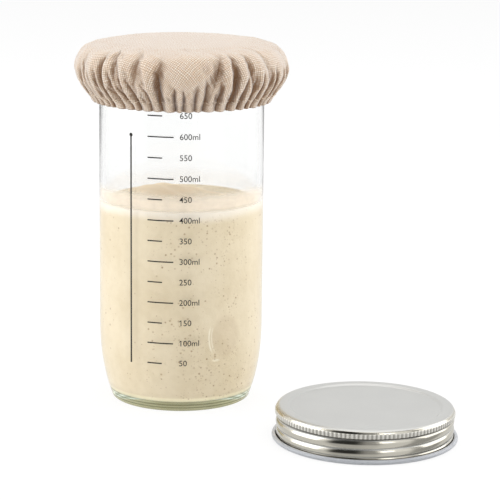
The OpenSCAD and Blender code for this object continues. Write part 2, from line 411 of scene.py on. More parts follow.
# %% From a grid to an object
def grid_faces(rows, columns, ring=False):
    """Quads between neighbouring rows and columns. The columns close, and the rows too when ring."""
    index = np.arange(rows * columns).reshape(rows, columns)
    below = np.roll(index, -1, 0) if ring else index[1:]
    index = index if ring else index[:-1]
    quads = [index, np.roll(index, -1, 1), np.roll(below, -1, 1), below]
    return np.stack(quads, -1).reshape(-1, 4)


def fan_faces(pole, ring):
    return np.stack([np.full(len(ring), pole), ring, np.roll(ring, -1)], -1)


def skin(grid, first_pole=None, last_pole=None, ring=False):
    """Points and faces of a closed grid. Each pole is one point joined to the nearest row."""
    rows, columns = grid.shape[:2]
    points, quads, fans = grid.reshape(-1, 3), grid_faces(rows, columns, ring), []
    if first_pole is not None:
        fans.append(fan_faces(len(points), np.arange(columns)[::-1]))
        points = np.vstack([points, first_pole])
    if last_pole is not None:
        fans.append(fan_faces(len(points), np.arange(columns) + (rows - 1) * columns))
        points = np.vstack([points, last_pole])
    return points, [quads, *fans]


def put(name, points, faces, finishes, body, slot, about=(0, 0, 0), finish_of_face=None):
    """Makes the object: faces are turned outwards if the volume they enclose about a point is negative."""
    points = np.asarray(points, float)
    from_point = points - np.array(about)
    volume = 0
    for group in faces:
        for i in range(1, group.shape[1] - 1):
            a, b, c = (from_point[group[:, j]] for j in (0, i, i + 1))
            volume += np.einsum("ij,ij->", a, np.cross(b, c)) / 6
    if volume < 0:
        faces = [group[:, ::-1] for group in faces]
    corners = np.concatenate([group.ravel() for group in faces])
    sides = np.concatenate([np.full(len(group), group.shape[1]) for group in faces])
    mesh = bpy.data.meshes.new(name)
    mesh.vertices.add(len(points))
    mesh.vertices.foreach_set("co", (points * MM).ravel())
    mesh.loops.add(len(corners))
    mesh.loops.foreach_set("vertex_index", corners)
    mesh.polygons.add(len(sides))
    mesh.polygons.foreach_set("loop_start", np.concatenate([[0], np.cumsum(sides)[:-1]]))
    mesh.polygons.foreach_set("loop_total", sides)
    mesh.polygons.foreach_set("use_smooth", np.ones(len(sides), bool))
    for finish in finishes:
        mesh.materials.append(finish)
    if finish_of_face is not None:
        mesh.polygons.foreach_set("material_index", finish_of_face)
    mesh.update(calc_edges=True)
    mesh.validate()
    made = added(name, mesh)
    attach(made, body)
    print(f"{name}: {len(points)} points, {len(sides)} faces, {abs(volume) / 1000:.1f} ml")
    return made


# %% [markdown]
# ## The glass
#
# The real jar is pressed and then blown in a mould: straight sides, a heel that curves in, a thick foot
# with a push-up, and a screw neck. One profile goes up the outside and down the inside. Soda glass is
# nearly colourless in a thin wall and shows its green only where the eye looks along the foot. Rings
# where the thick bottom mirrors itself are painted reflections in the foot's tint, so it goes up and
# down with height. Shadow rays and bounced light pass through it straight, as a render can't gather
# what real glass refracts.

# %% Sizes of the glass
BODY_R, WALL, RIM_Z = 42.0, 3.0, 182.0
INNER_R = BODY_R - WALL
HEEL_H, HEEL_IN, HEEL_POWER = 42.0, 6.5, 2.5
SHOULDER_Z, NECK_Z, NECK_R = 158.0, 162.0, 40.4
FLOOR_Z, FLOOR_RISE, CORNER_R = 5.0, 2.0, 6.0
RIM_ROUND = 1.1
ON_GLASS = BODY_R - 0.012


def body_radius(z):
    """BODY_R above the heel. Below it, less HEEL_IN times (1 - z / HEEL_H) to the heel power."""
    return BODY_R - HEEL_IN * np.clip(1 - z / HEEL_H, 0, None) ** HEEL_POWER


def inner_heel():
    """The inside from the heel's top, round the corner and over the slightly raised floor."""
    top = FLOOR_Z + CORNER_R
    z = np.linspace(HEEL_H, top, 24)
    side = profile(body_radius(z) - WALL, z)
    corner = arc((side[-1, 0] - CORNER_R, top), CORNER_R, 0, -90, 12)
    t = np.linspace(1, 0, 12)[1:]
    floor = profile(corner[-1, 0] * t, FLOOR_Z + FLOOR_RISE * (1 - t**2))
    return np.vstack([side, corner[1:], floor])


# %% Glass profile and thread
FOOT_ROUND, PUSH_UP_R, PUSH_UP_H = 1.0, 31.1, 3.0
THREAD_PITCH, THREAD_OUT, THREAD_HALF = 3.7, 1.5, 1.35
THREAD_START_Z, THREAD_TURNS, THREAD_ROWS = 171.2, 1.45, (168.0, 179.4, 46)
BEAD_R, BEAD_UNDER, BEAD_OVER = NECK_R + 1.2, (164.1, 165.2), (165.4, 166.4)
GLASS_COLUMNS = 256

heel_z = np.linspace(FOOT_ROUND, HEEL_H, 28)[1:]
thread_z = np.linspace(*THREAD_ROWS)
glass_profile = np.vstack([
    s_curve((PUSH_UP_R * 0.35, PUSH_UP_H), (PUSH_UP_R, 0.6)),
    [[32.3, 0.05], [33.0, 0.0], [34.0, 0.0]],
    arc((body_radius(FOOT_ROUND) - FOOT_ROUND, FOOT_ROUND), FOOT_ROUND, -70, 0, 6),
    profile(body_radius(heel_z), heel_z),
    [[BODY_R, 80.0], [BODY_R, 120.0]],
    s_curve((BODY_R, SHOULDER_Z), (NECK_R, NECK_Z), upright=True),
    s_curve((NECK_R, BEAD_UNDER[0]), (BEAD_R, BEAD_UNDER[1]), upright=True, steps=6),
    s_curve((BEAD_R, BEAD_OVER[0]), (NECK_R, BEAD_OVER[1]), upright=True, steps=6),
    profile(NECK_R, thread_z),
    arc((NECK_R - RIM_ROUND, RIM_Z - RIM_ROUND), RIM_ROUND, 0, 180, 14),
    s_curve((NECK_R - 2 * RIM_ROUND - 0.8, 176.0), (INNER_R, SHOULDER_Z - 1), upright=True),
    [[INNER_R, 120.0], [INNER_R, 80.0]],
    inner_heel()[:-1],
])
glass_grid = turned(glass_profile, GLASS_COLUMNS)


def thread_height(z, angle):
    """Rounded ridge on a helix: THREAD_OUT (1 - x^2)^0.7, with x the height above the helix over its
    half width. It fades in and out over a fifth of a turn at its ends."""
    turn = np.arange(-1, 3)[:, None, None] + angle / (2 * np.pi)
    x = (z - (THREAD_START_Z + THREAD_PITCH * turn)) / THREAD_HALF
    ends = smooth(turn, 0, 0.2) * (1 - smooth(turn, THREAD_TURNS - 0.2, THREAD_TURNS))
    return (THREAD_OUT * ends * np.clip(1 - x**2, 0, None) ** 0.7).max(0)


on_neck = np.isclose(glass_profile[:, 0], NECK_R) & (glass_profile[:, 1] > BEAD_OVER[1] + 0.5)
push_out(glass_grid, on_neck, thread_height(glass_profile[on_neck, 1][:, None], angles(GLASS_COLUMNS)[None]))

# %% The glass itself
GLASS_CLEAR, GLASS_SHADOW = (0.992, 0.996, 0.993, 1.0), (0.985, 0.99, 0.987, 1)
# The deep colour is a painted reflection: the foot's dark rings where the thick bottom mirrors itself.
GLASS_GREEN, GLASS_MIRRORED_DARK = (0.80, 0.88, 0.75, 1.0), (0.22, 0.26, 0.15, 1.0)
MIRRORED_RING_PITCH, MIRRORED_RING_Z, FOOT_FADE = 0.0016, 0.0003, (0.0068, 0.0045)

glass_finish = Finish("clear soda glass")
rays = ray_kinds(glass_finish)
passing = rays["Is Shadow Ray"].math("MAXIMUM", rays["Is Diffuse Ray"])
here = glass_finish.here()
z = here.parts()["Z"]
foot = z.ramp(*FOOT_FADE)
# Painted reflection rings, dark and green by turns up the foot.
rings = ((z - MIRRORED_RING_Z) * (2 * math.pi / MIRRORED_RING_PITCH)).math("COSINE") * 0.5 + 0.5
ripple = here.stretched((1, 1, 0.35)).noise(55.0, 1.0)
tint = foot.mix(GLASS_CLEAR, rings.mix(GLASS_GREEN, GLASS_MIRRORED_DARK))
glassy = glass_finish.principled(
    Base_Color=tint, Roughness=0.0, IOR=1.5, Transmission_Weight=1.0, Normal=ripple.bump(0.0004, 0.25))
through_it = glass_finish.node("BsdfTransparent", None, {"Color": GLASS_SHADOW})
clear_glass = glass_finish.surface(passing.choose(glassy, through_it))

points, faces = skin(glass_grid, (0, 0, PUSH_UP_H), (0, 0, FLOOR_Z + FLOOR_RISE))
glass = put("jar_glass", points, faces, [clear_glass], "jar", "jar_glass")
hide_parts("glass_jar")

# %% [markdown]
# ## The starter
#
# A fed starter is a slack batter full of fine gas bubbles. Where it touches the glass, the eye sees the
# batter itself, a little magnified, with opened bubbles as small pits painted brown as shade, and one
# large flattened bubble low on the right, with painted shade inside it and painted highlights on its
# rim. So the batter's skin reaches a tenth of a millimetre into the glass, or the render would show a
# mirror of trapped air. Its surface has sunk a little and left a thin milky film on the wall above it.

# %% Batter
STARTER_Z, STARTER_OVERLAP = 103.0, 0.1
STARTER_COLUMNS = 256


def batter_top(x, y):
    """Height of the surface: a low dome, a broad hump at the back left, slow lumps, and an edge that
    creeps up the glass over its last 2 mm."""
    r = np.hypot(x, y)
    dome = 1.1 * (1 - (r / INNER_R) ** 2)
    hump = 2.6 * np.exp(-(((x + 11) / 16) ** 2 + ((y - 25) / 14) ** 2))
    lumps = 0.35 * np.sin(x * 0.21 + 1.0) * np.cos(y * 0.27) + 0.2 * np.sin(x * 0.5 + y * 0.43)
    creep = 0.8 * smooth(r, INNER_R - 2.2, INNER_R)
    return STARTER_Z + dome + (hump + lumps) * smooth(INNER_R - r, 0, 5) + creep


across = np.concatenate([
    np.linspace(0, INNER_R - 3, 30)[1:], np.linspace(INNER_R - 2.5, INNER_R + STARTER_OVERLAP, 8)])
top_grid = turned(profile(across, 0.0), STARTER_COLUMNS)
top_grid[..., 2] = batter_top(top_grid[..., 0], top_grid[..., 1])
side_z = np.linspace(STARTER_Z - 0.5, HEEL_H, 24)[:-1]
side_profile = np.vstack([profile(INNER_R, side_z), inner_heel()[:-1]])
side_profile[:, 0] += STARTER_OVERLAP
side_profile[len(side_z) + 24:, 1] -= STARTER_OVERLAP
batter_grid = np.concatenate([top_grid, turned(side_profile, STARTER_COLUMNS)])

# %% Colour of the batter
# Of these colours, the bubbles' brown is painted shade, and the pale one for the big bubble's rim a painted
# highlight.
BATTER, BATTER_DEEP, BUBBLE_SHADE = linear(234, 219, 190), linear(222, 205, 172), linear(170, 138, 98)
MILK, MILK_PAINTED_GLOW, TOP_TINT = linear(250, 240, 225), linear(238, 243, 250), linear(250, 226, 190)
BUBBLE_HIGHLIGHT, PAINTED_FOOT_GLOW = linear(250, 241, 220), linear(226, 232, 206)
BIG_BUBBLE_X, BIG_BUBBLE_Z, BIG_BUBBLE_WIDE, BIG_BUBBLE_HIGH = 22.8, 39.0, 7.0, 11.8
# Zones in metres up from the table or from the axis, each between where it starts and where it is full.
WET_ZONE, WALL_ZONE, FOOT_ZONE = (0.0985, 0.1040), (0.0375, 0.0385), (0.0077, 0.0062)
TOP_TINT_ZONE, TOP_TINT_EDGE = (0.1033, 0.1046), (0.0385, 0.0360)
CROWDED = ((9, 88, 20, 16), (15, 29, 15, 14))  # x, z, half width, half height of two patches of bubbles

batter_finish = Finish("sourdough batter")
here = batter_finish.here()
at = here.parts()


def bubbles(scale, share, outside, inside, depth):
    """One bubble in each cell of a Voronoi pattern, if the cell's own random number is under the share.
    Gives the mask, from 0 at the distance outside to 1 at inside, and a second random number as depth."""
    cell = batter_finish.outputs("TexVoronoi", None, {"Vector": here, "Scale": scale})
    chance = batter_finish.outputs("SeparateColor", None, {0: cell["Color"]})
    return cell["Distance"].ramp(outside, inside) * (chance["Red"] < share), chance[depth]


clouds = here.noise(34.0, 3.0).ramp(0.35, 0.7)
mottle = here.noise(260.0, 2.0).ramp(0.38, 0.66)
crowd = here.noise(42.0, 2.0).ramp(0.40, 0.66, 0.06, 0.8)
crowd = crowd * at["X"].ramp(-0.035, 0.005, 0.2, 1.0)
for x, z, wide, high in CROWDED:
    off = ((at["X"] - x * MM) / (wide * MM)) ** 2.0 + ((at["Z"] - z * MM) / (high * MM)) ** 2.0
    crowd = crowd + off.ramp(1.2, 0.1) * (at["Y"] < 0) * 0.3
pit, pit_depth = bubbles(470.0, crowd, 0.34, 0.1, "Green")
pinhole, pinhole_depth = bubbles(830.0, crowd * 0.8, 0.36, 0.12, "Blue")
from_axis = (at["X"] ** 2.0 + at["Y"] ** 2.0).math("SQRT")
wetted = (at["Z"] + clouds * 0.002).ramp(*WET_ZONE) * from_axis.ramp(*WALL_ZONE)
# The top of the batter, inside the last few millimetres by the wall, is painted a lighter, warmer tan.
top_tint = at["Z"].ramp(*TOP_TINT_ZONE) * from_axis.ramp(*TOP_TINT_EDGE)
# The big flattened bubble: painted shade inside it, two painted highlight crescents on its left and a painted
# glint below.
wide = (at["X"] - BIG_BUBBLE_X * MM) / (BIG_BUBBLE_WIDE * MM)
high = (at["Z"] - BIG_BUBBLE_Z * MM) / (BIG_BUBBLE_HIGH * MM)
oval = (wide ** 2.0 + high ** 2.0).math("SQRT")
in_front = at["Y"] < -0.01
inside = oval.ramp(1.08, 0.72) * in_front
beside = high.ramp(0.55, 0.25) * high.ramp(-0.75, -0.45) * in_front
crescent_highlight = abs(oval - 1.12).ramp(0.07, 0.02) * wide.ramp(-0.6, -0.9) * beside
inner_highlight = abs(oval - 0.95).ramp(0.05, 0.02) * wide.ramp(-0.6, -0.8) * beside
glint = ((wide + 0.45 - high * 0.2) ** 2.0 * 9.0 + (high + 1.02) ** 2.0 * 160.0).ramp(1.0, 0.2) * in_front
# The bubbles' brown here is painted shade, and the rim, crescents and glint are painted highlights.
colour = layered(
    BATTER, (clouds * 0.55 + mottle * 0.25, BATTER_DEEP), (pit * pit_depth * 0.85, BUBBLE_SHADE),
    (pinhole * pinhole_depth * 0.6, BUBBLE_SHADE), (wetted * 0.9, MILK), (top_tint * 0.75, TOP_TINT),
    (inside * 0.17, BUBBLE_SHADE), (crescent_highlight * 0.8 + inner_highlight * 0.5 + glint * 0.6, BUBBLE_HIGHLIGHT))
# Painted light: the batter's bottom glows faintly, standing in for light that the thick foot gathers from the
# sides.
gathered = at["Z"].ramp(*FOOT_ZONE).mix((0, 0, 0, 1), PAINTED_FOOT_GLOW)
dough = batter_finish.surface(batter_finish.principled(
    Base_Color=colour, Roughness=0.48, IOR=1.38, Emission_Color=gathered, Emission_Strength=0.24,
    Normal=(mottle * 0.4 - pit).bump(0.0003, 0.5)))
points, faces = skin(
    batter_grid, (0, 0, float(batter_top(0, 0))), (0, 0, FLOOR_Z + FLOOR_RISE - STARTER_OVERLAP))
batter = put("starter_batter", points, faces, [dough], "jar", "starter_dough")
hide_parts("sourdough_starter")

# %% Film left on the glass
FILM_TOP, FILM_IN_GLASS, FILM_OUT = 118.0, 0.07, 0.06
FILM_EDGE, FILM_FOOT, FILM_FRONT = (0.1170, 0.1110), (0.1025, 0.1065), (0.005, -0.02)  # in metres

film_finish = Finish("milky film")
here = film_finish.here()
at = here.parts()
edge = here.noise(34.0, 2.0) * 0.006 + at["Z"]
drops = here.noise(150.0, 3.0).ramp(0.25, 0.75, 0.8, 1.0)
thick = edge.ramp(*FILM_EDGE) * at["Z"].ramp(*FILM_FOOT, 0.35, 1.0) * drops
thick = thick * at["Y"].ramp(*FILM_FRONT, 0.14, 0.82)
# The film's front glows a little: painted light, standing in for light that comes through it from behind.
front_of_film = film_finish.principled(Base_Color=MILK, Roughness=0.5, Emission_Color=MILK_PAINTED_GLOW,
                                       Emission_Strength=0.16)
milk = film_finish.node("MixShader", None, {
    0: 0.5, 1: front_of_film, 2: film_finish.node("BsdfTranslucent", None, {"Color": MILK})})
milky = film_finish.surface(thick.choose(film_finish.node("BsdfTransparent"), milk))
film_z = np.linspace(FILM_TOP, STARTER_Z - 0.8, 24)
film_profile = np.vstack([profile(INNER_R + FILM_IN_GLASS, film_z), profile(INNER_R - FILM_OUT, film_z[::-1])])
put("starter_film", *skin(turned(film_profile, STARTER_COLUMNS), ring=True), [milky], "jar", "starter_dough")

# %% [markdown]
# ## The print
#
# The scale is screen printed and fired on, so the marks lie a tenth of a millimetre proud. The model
# already has the lines. The numbers are set in a plain sans as flat text, made a mesh, and bent round
# the glass: a letter's x becomes an arc, its y the height, its depth the radius.

# %% Ink
MARKS = 13
FIRST_MARK, MARK_PITCH = 26.6, 50000 / (math.pi * INNER_R**2)
NUMBER_START, NUMBER_SIZE, INK_T = 0.35, 4.2, 0.09
FLAG = [(0.05, 0), (-0.62, -0.62), (-0.62, -1.0), (0.05, -0.45)]

ink = grained("fired ink", 1500.0, (30, 28, 26), (50, 47, 44), 0.00004, 0.6, Roughness=0.5,
              Specular_IOR_Level=0.25)
refinish("scale_print", ink)


def written(text, size, thickness):
    """Points and faces of one line of text, flat in x and y, with its depth in z from 0 up."""
    curve = bpy.data.curves.new("number", "FONT")
    curve.body, curve.size, curve.extrude, curve.align_y = text, size, thickness / 2, "CENTER"
    curve.resolution_u, curve.offset, curve.space_character = 4, 0.012, 1.0
    carrier = added("number", curve)
    bpy.context.view_layer.update()
    mesh = bpy.data.meshes.new_from_object(carrier.evaluated_get(bpy.context.evaluated_depsgraph_get()))
    co = np.zeros(len(mesh.vertices) * 3)
    mesh.vertices.foreach_get("co", co)
    found = [tuple(p.vertices) for p in mesh.polygons]
    bpy.data.objects.remove(carrier)
    bpy.data.curves.remove(curve)
    bpy.data.meshes.remove(mesh)
    return co.reshape(-1, 3) + (0, 0, thickness / 2), found


def with_flag(points, found):
    """The font's 1 is a bare bar. This adds the slanted stroke at its head, as a prism."""
    bar = points[:, 0].min()
    top = points[points[:, 0] < bar + 0.01, 1].max()
    outline = np.array(FLAG) + (bar, top)
    prism = np.array([(*corner, depth) for depth in (0, INK_T) for corner in outline])
    sides = [(0, 1, 2, 3), (7, 6, 5, 4)] + [(4 + a, 4 + (a + 1) % 4, (a + 1) % 4, a) for a in range(4)]
    return np.vstack([points, prism]), found + [tuple(v + len(points) for v in side[::-1]) for side in sides]


all_points, all_faces, count = [], [], 0
for i in range(MARKS):
    volume = 50 * (i + 1)
    label = f"{volume}ml" if i % 2 else str(volume)
    flat, found = written(label, NUMBER_SIZE, INK_T)
    if label.startswith("1"):
        flat, found = with_flag(flat, found)
    z = FIRST_MARK + MARK_PITCH * i + flat[:, 1]
    r = body_radius(z) - BODY_R + ON_GLASS + flat[:, 2]
    bend = (flat[:, 0] + NUMBER_START) / BODY_R
    all_points.append(np.stack([r * np.sin(bend), -r * np.cos(bend), z], 1))
    all_faces += [tuple(v + count for v in face) for face in found]
    count += len(flat)
numbers = drawn("scale_numbers", np.vstack(all_points) * MM, all_faces)
numbers.data.materials.append(ink)
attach(numbers, "jar")
print("numbers", MARKS, "labels,", count, "points")

# %% [markdown]
# ## The lid
#
# The lid is pressed from one disc of tinned steel, lacquered white on the inside. A roller then forms
# the knurled grip and the thread beads, and the raw edge is curled outwards, which brings the white
# side out. So the skirt is one sheet: its profile goes from the middle of the panel over the step,
# down the skirt and round the curl, and the wall's thickness is added inwards. The panel is brushed,
# and the rolled skirt is bright. The knurled band is rough and half metallic, and painted pale as a
# painted highlight on the ribs, with painted shade between them, in the groove under the band and
# where the skirt meets the curl.

# %% Lid sizes
lid_low, lid_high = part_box("lid_shell")
LID_PLACE = np.array([(lid_low.x + lid_high.x) / 2, (lid_low.y + lid_high.y) / 2, 0.0]) / MM
LID_H, STEEL_T, SKIRT_R = 16.2, 0.3, 43.5
PANEL_R, PANEL_SLOPE, PANEL_DROP, LID_CORNER = 36.4, 1.8, 0.8, 2.0
KNURLS, KNURL_OUT, KNURL_LOW, KNURL_HIGH = 132, 0.45, 12.2, 14.4
COLUMNS_PER_RIB = 4
BEAD_Z, BEAD_PITCH, BEAD_HALF, BEAD_DEPTH = 4.6, 4.5, 2.25, 0.85
CURL_R, CURL_Z, CURL_REACH = 0.85, 1.15, 45.5
LID_COLUMNS = KNURLS * COLUMNS_PER_RIB


def skirt_inset(z, angle):
    """How far the skirt lies inside its crests: BEAD_DEPTH (1 - (1 - x^2)^0.8), x being the height above
    the nearest bead of the helix over half the pitch. Straight under the knurl and over the curl."""
    helix = BEAD_Z + BEAD_PITCH * from_front(angle) / (2 * np.pi)
    x = np.abs((z - helix + BEAD_PITCH / 2) % BEAD_PITCH - BEAD_PITCH / 2) / BEAD_HALF
    beads = 1 - (1 - np.clip(x, 0, 1) ** 2) ** 0.8
    above = smooth(z, 10.9, 11.5)
    below = 1 - smooth(z, 2.3, 3.2)
    return BEAD_DEPTH * (beads * (1 - above) * (1 - below) + 0.8 * above * (1 - smooth(z, 11.8, 12.2))
                         + 0.2 * below)


def knurl(z, angle):
    """Ribs: KNURL_OUT times the half wave of cos(KNURLS angle), rounded off at the band's edges."""
    band = smooth(z, KNURL_LOW - 0.2, KNURL_LOW + 0.25) * (1 - smooth(z, KNURL_HIGH - 0.3, KNURL_HIGH + 0.2))
    return KNURL_OUT * band * (0.5 + 0.5 * np.cos(KNURLS * angle))


# %% Lid shape
top = LID_H
corner = arc((SKIRT_R - LID_CORNER, top - LID_CORNER), LID_CORNER, 90, 8, 7)
skirt_z = np.concatenate([
    [14.4, 14.2, 13.8, 13.2, 12.6, 12.4, 12.2, 12.0, 11.8, 11.5], np.linspace(11.2, 2.4, 32), [2.0, 1.6]])
panel = np.vstack([
    profile([8.0, 24.0, 34.0], top - PANEL_DROP),
    s_curve((PANEL_R, top - PANEL_DROP), (PANEL_R + PANEL_SLOPE, top), steps=8)])
lid_profile = np.vstack([
    panel,
    corner,
    profile(SKIRT_R, skirt_z),
    arc((CURL_REACH - CURL_R - STEEL_T, CURL_Z), CURL_R, 190, 498, 18),
])
lid_grid = turned(lid_profile, LID_COLUMNS)
first = len(panel) + len(corner)
rows = slice(first, first + len(skirt_z))
z, angle = lid_profile[rows, 1][:, None], angles(LID_COLUMNS)[None]
push_out(lid_grid, rows, knurl(z, angle) - skirt_inset(z, angle))

# %% Steel and lacquer
ROLLED_DARK, ROLLED_LIGHT = linear(206, 202, 189), linear(215, 211, 199)
PANEL_DARK, PANEL_LIGHT = linear(194, 194, 191), linear(203, 203, 200)
# Painted light on the steel: a pale highlight on the knurled band; shade between its ribs, in the groove under
# the band and at the root of the curl.
KNURL_HIGHLIGHT, KNURL_SHADE = linear(232, 230, 223), linear(118, 114, 104)
GROOVE_SHADE, CURL_ROOT_SHADE = linear(60, 57, 50), linear(96, 82, 64)
# Zones in metres from the axis or up from the table, each between where it starts and where it is full.
PANEL_ZONE, ROOT_ZONE = (0.0432, 0.0427), (0.0027, 0.0021)
BAND_FOOT, BAND_TOP = (0.0121, 0.0125), (0.0146, 0.0142)
GROOVE_FOOT, GROOVE_TOP = (0.0110, 0.0115), (0.0122, 0.0120)

steel_finish = Finish("tinned steel")
here = steel_finish.here()
at = here.parts()
rolled = here.stretched((1, 0.05, 1)).noise(900.0, 3.0)
patchy = here.noise(60.0, 3.0)
lid_x, lid_y = (float(v) * MM for v in LID_PLACE[:2])
from_axis = ((at["X"] - lid_x) ** 2.0 + (at["Y"] - lid_y) ** 2.0).math("SQRT")
on_panel, curl_root_shade = from_axis.ramp(*PANEL_ZONE), at["Z"].ramp(*ROOT_ZONE)
band = at["Z"].ramp(*BAND_FOOT) * at["Z"].ramp(*BAND_TOP)
shade_under_band = at["Z"].ramp(*GROOVE_TOP) * at["Z"].ramp(*GROOVE_FOOT)
between = steel_finish.attribute("shade between ribs")
bare = on_panel.mix(patchy.mix(ROLLED_DARK, ROLLED_LIGHT), patchy.mix(PANEL_DARK, PANEL_LIGHT))
# The bare steel under painted light: highlight on the band, shade between the ribs, in the groove and at the
# curl's root.
colour = layered(bare, (band, KNURL_HIGHLIGHT), (between * 0.8, KNURL_SHADE), (shade_under_band * 0.8, GROOVE_SHADE),
                 (curl_root_shade * 0.8, CURL_ROOT_SHADE))
steel = steel_finish.surface(steel_finish.principled(
    Base_Color=colour, Metallic=1 - band * 0.55,
    Roughness=on_panel * 0.21 + band * 0.3 + patchy * 0.06 + 0.12,
    Normal=rolled.bump(0.00002, 0.5)))

# The lacquer is white, but its colour here is grey: painted shade, as on the curl that faces down.
lacquer = grained("white lacquer in painted shade", 700.0, (168, 171, 176), (180, 183, 188), 0.00003, 0.4, Roughness=0.28,
                  Coat_Weight=0.3)

points, faces = skin(lid_grid, (0, 0, top - PANEL_DROP))
lid = put("screw_lid", points + LID_PLACE, faces, [steel, lacquer], "lid", "tinned_steel", about=LID_PLACE)
# Painted shade between the ribs, carried as a number per point.
rib_shade = np.zeros(lid_grid.shape[:2])
rib_shade[rows] = knurl(z, angle + np.pi / KNURLS) / KNURL_OUT
carry(lid, "shade between ribs", rib_shade)
wall = lid.modifiers.new("wall", "SOLIDIFY")
wall.thickness, wall.offset, wall.material_offset, wall.material_offset_rim = STEEL_T * MM, -1.0, 1, 1
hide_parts("lid_shell")

refinish("lid_liner", grained("sealing compound", 180.0, (232, 229, 222), (244, 242, 237), 0.0001, 0.4,
                              Roughness=0.55))

# %% [markdown]
# ## The cloth cover
#
# The cover is a disc of coarse linen, cut nearly twice as wide as the jar's mouth, with an elastic in
# its hem. The disc has far more edge than the neck has girth, so the cloth must fold: deep narrow
# gathers at the hem that run together into a few full puffs above. The start shape gives every ring
# of the disc folds just deep enough to take up that ring's own length: the front's large folds are
# placed as on the real cover, with a wide smooth puff in the middle, and the rest are drawn at random.
# Blender's cloth then lets it settle, and the folds find their own way. The flat disc stays as the UV
# map, so the weave runs straight through every fold. In the valleys, where the threads shade each
# other, the colour deepens by how much of the sky the neighbouring folds hide.

# %% Lie of the cloth
CLOTH_R, CLOTH_T = 84.0, 0.5
FLAT_R = 34.0
FOLD_SEED = 5
TOP_Z = 184.4
HEM_LOW = 155.2
SIM_COLUMNS, SIM_RINGS = (400, 44)
FRONT_FOLDS = np.radians([
    (-86, -84), (-64, -66), (-46, -47), (-32, -40), (-25, -23), (-13, -9), (15, 26), (33, 30), (47, 39),
    (61, 53), (84, 80)])  # each valley's angle at the hem and at the top
FRONT_SIZES = [0.6, 0.7, 1.3, 0.8, 1.1, 1.3, 1.4, 0.9, 1.1, 0.8, 0.5]
OTHER_FOLDS, GATHERS = 12, 52
cover_line = finer(np.array([
    (0, TOP_Z + 0.6), (20, TOP_Z + 0.5), (34, TOP_Z + 0.2), (44, TOP_Z - 1.0), (49.6, TOP_Z - 3.4),
    (52.4, 176.3), (52.9, 171.0), (51.3, 166.0), (48.4, 161.4), (45.6, 157.4), (44.6, HEM_LOW)]), 40)
along = np.concatenate([[0], np.cumsum(np.hypot(*np.diff(cover_line, axis=0).T))])
print(f"cloth disc {2 * CLOTH_R:.0f} mm across for a line of {along[-1]:.1f} mm")

rng = np.random.default_rng(FOLD_SEED)


def folds(angle, valleys, sizes):
    """Sharp valleys with rounded crests between: 2 |sin(pi t)|^0.85 - 1.15 times each fold's own size,
    where t counts the valleys."""
    knots = np.concatenate([valleys[-1:] - 2 * np.pi, valleys, valleys[:1] + 2 * np.pi])
    sizes = np.concatenate([sizes[-1:], sizes, sizes[:1]])
    t = np.interp((angle - valleys[0]) % (2 * np.pi) + valleys[0], knots, np.arange(len(knots)))
    size = np.interp(t, np.arange(len(sizes)), sizes)
    return (2 * np.abs(np.sin(np.pi * t)) ** 0.85 - 1.15) * size


def uneven(start, end, count, by):
    """Angles spread from start to end, without the ends, each moved by up to a share of their spacing."""
    even = np.linspace(start, end, count + 2)[1:-1]
    return even + rng.uniform(-by, by, count) * (end - start) / (count + 1)


def big_folds(angle, up):
    """The large folds, ring by ring. Each valley has one angle at the hem and another at the top. Those
    of the front are listed one by one, as the real cover has a wide smooth puff there."""
    ends = [uneven(FRONT_FOLDS[-1, i], FRONT_FOLDS[0, i] + 2 * np.pi, OTHER_FOLDS, 0.0) for i in (0, 1)]
    shift = rng.uniform(-0.08, 0.08, (2, OTHER_FOLDS))
    hem, top = (np.concatenate([FRONT_FOLDS[:, i], ends[i] + shift[0] + i * 0.6 * shift[1]]) for i in (0, 1))
    sizes = np.concatenate([FRONT_SIZES, rng.uniform(0.4, 1.5, OTHER_FOLDS)])
    return np.stack([folds(angle, hem + (top - hem) * u, sizes) for u in up])


def gathers(angle, up):
    """The many small folds of the hem. Left of the front they lean out to the left."""
    valleys = uneven(-np.pi, np.pi, GATHERS, 0.3)
    sizes = rng.uniform(0.6, 1.3, GATHERS)
    lean = np.radians(8) * np.exp(-((np.degrees(angle) + 33) / 18) ** 2)
    return np.stack([folds(angle + lean * u, valleys, sizes) for u in up])


def fold_depth(shape, radius, wanted):
    """For each ring, the factor on its fold shape that makes the ring as long as wanted, by halving."""
    low, high = np.zeros(len(radius)), np.full(len(radius), 4.0)
    step = 2 * np.pi / shape.shape[1]
    for _ in range(30):
        middle = (low + high) / 2
        r = radius[:, None] + middle[:, None] * shape
        length = np.hypot(np.roll(r, -1, 1) - r, r * step).sum(1)
        high, low = np.where(length > wanted, middle, high), np.where(length > wanted, low, middle)
    return low


